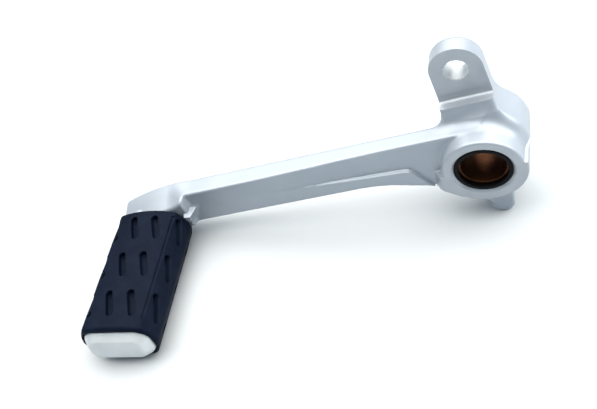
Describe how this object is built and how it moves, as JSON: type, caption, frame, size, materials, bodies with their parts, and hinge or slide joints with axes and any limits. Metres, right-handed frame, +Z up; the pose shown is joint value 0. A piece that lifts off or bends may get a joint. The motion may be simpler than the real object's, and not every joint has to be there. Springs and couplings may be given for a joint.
{
  "type": "gear shift lever",
  "caption": "Foot gear shift lever: forged arm with a hub on a pivot sleeve, a linkage tab above the hub, a stop lug below it and a rubber-covered toe peg.",
  "frame": {"origin": "on the pivot axis, in the plane of the hub's outer face", "axes": "+Z up as the lever stands on its toe peg and stop lug, +X from the toe peg towards the hub, +Y along the pivot axis towards the motorcycle"},
  "size_m": [0.1282, 0.0648, 0.0529],
  "materials": {
    "forging": "satin silver forging, milled bare on the tab and the hub face",
    "toe_rubber": "moulded black rubber with slanted grooves",
    "seal": "black nitrile dust seal",
    "sleeve": "oiled bronze, bored smooth"
  },
  "bodies": {
    "sleeve": {"pivot_sleeve": "sleeve"},
    "lever": {"lever_forging": "forging", "toe_rubber": "toe_rubber", "front_seal": "seal", "rear_seal": "seal"}
  },
  "joints": [
    {"name": "lever_pivot", "type": "hinge", "parent": "sleeve", "child": "lever", "pos_m": [0, 0.01, 0], "axis": [0, 1, 0], "range_deg": [-12, 12]}
  ]
}
